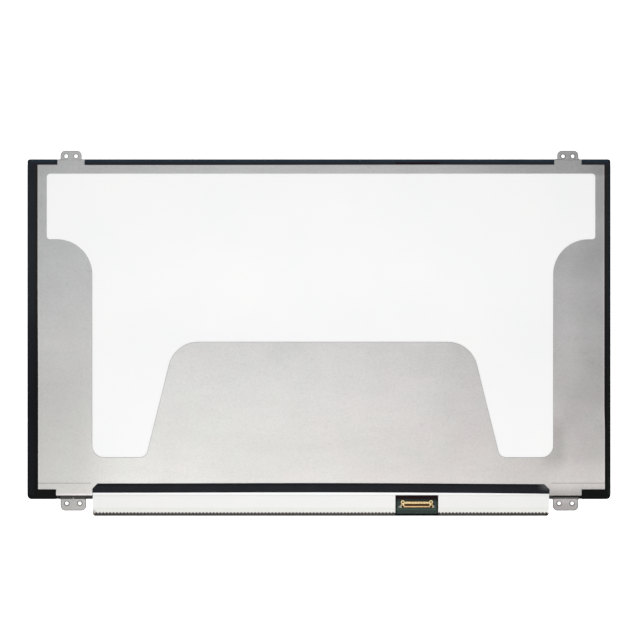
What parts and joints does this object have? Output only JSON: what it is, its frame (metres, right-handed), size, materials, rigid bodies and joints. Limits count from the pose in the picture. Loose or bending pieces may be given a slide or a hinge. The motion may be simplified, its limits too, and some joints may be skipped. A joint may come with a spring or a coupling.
{
  "type": "laptop screen panel",
  "caption": "Slim laptop display module seen from its back: black frame, windowed steel back cover with screw ears, white reflector, and a filmed control board with a cable socket.",
  "frame": {"origin": "middle of the module's footprint, ears and board included, on the plane that the screen lies on", "axes": "+X along the long side, +Y towards the top ears, +Z from the screen to the back cover"},
  "size_m": [0.3594, 0.2254, 0.0032],
  "materials": {
    "black_tape": "black polyester tape, satin",
    "black_frame": "black moulded polycarbonate",
    "steel_cover": "bare zinc-coated steel, dull",
    "white_reflector": "white foamed film, matt",
    "white_film": "white polyester film, satin",
    "polariser": "dark polarising film, anti-glare",
    "display_glass": "thin glass",
    "light_guide": "clear acrylic",
    "diffuser_film": "milky film",
    "prism_film": "clear ribbed film",
    "amber_flex": "amber flexible circuit",
    "lamp": "white lamp package with yellow phosphor",
    "board_green": "dark green solder mask",
    "socket_plastic": "black liquid crystal polymer",
    "ivory_plastic": "ivory moulded plastic",
    "gold_plate": "gold-plated copper alloy",
    "solder": "bright solder",
    "chip_black": "black moulded resin",
    "ferrite": "dark ferrite",
    "capacitor_brown": "brown ceramic with tinned ends"
  },
  "bodies": {
    "root": {"edge_tape_left": "black_tape", "edge_tape_right": "black_tape", "edge_tape_top": "black_tape", "front_cover_tape": "black_tape", "front_polariser": "polariser", "colour_filter_glass": "display_glass", "tft_glass": "display_glass", "rear_polariser": "polariser", "rim_tape": "black_tape", "mold_frame": "black_frame", "upper_diffuser_sheet": "diffuser_film", "upper_prism_sheet": "prism_film", "lower_prism_sheet": "prism_film", "lower_diffuser_sheet": "diffuser_film", "light_guide_plate": "light_guide", "reflector_sheet": "white_reflector", "strip_bond_tape": "black_tape", "led_strip": "amber_flex", "led_packages": "lamp", "cover_bond_tape": "black_tape", "back_cover": "steel_cover", "source_films": "amber_flex", "source_driver_chips": "chip_black", "control_board": "board_green", "socket_housing": "socket_plastic", "socket_contacts": "gold_plate", "socket_shell": "gold_plate", "socket_solder": "solder", "timing_controller": "chip_black", "memory_chip": "chip_black", "power_chip": "chip_black", "gamma_chip": "chip_black", "lamp_driver_chip": "chip_black", "power_inductors": "ferrite", "ceramic_capacitors": "capacitor_brown", "chip_resistors": "chip_black", "board_fuse": "capacitor_brown", "lamp_socket": "ivory_plastic", "lamp_socket_latch": "socket_plastic", "board_cover_film": "white_film", "joint_tape": "black_tape"}
  },
  "joints": []
}
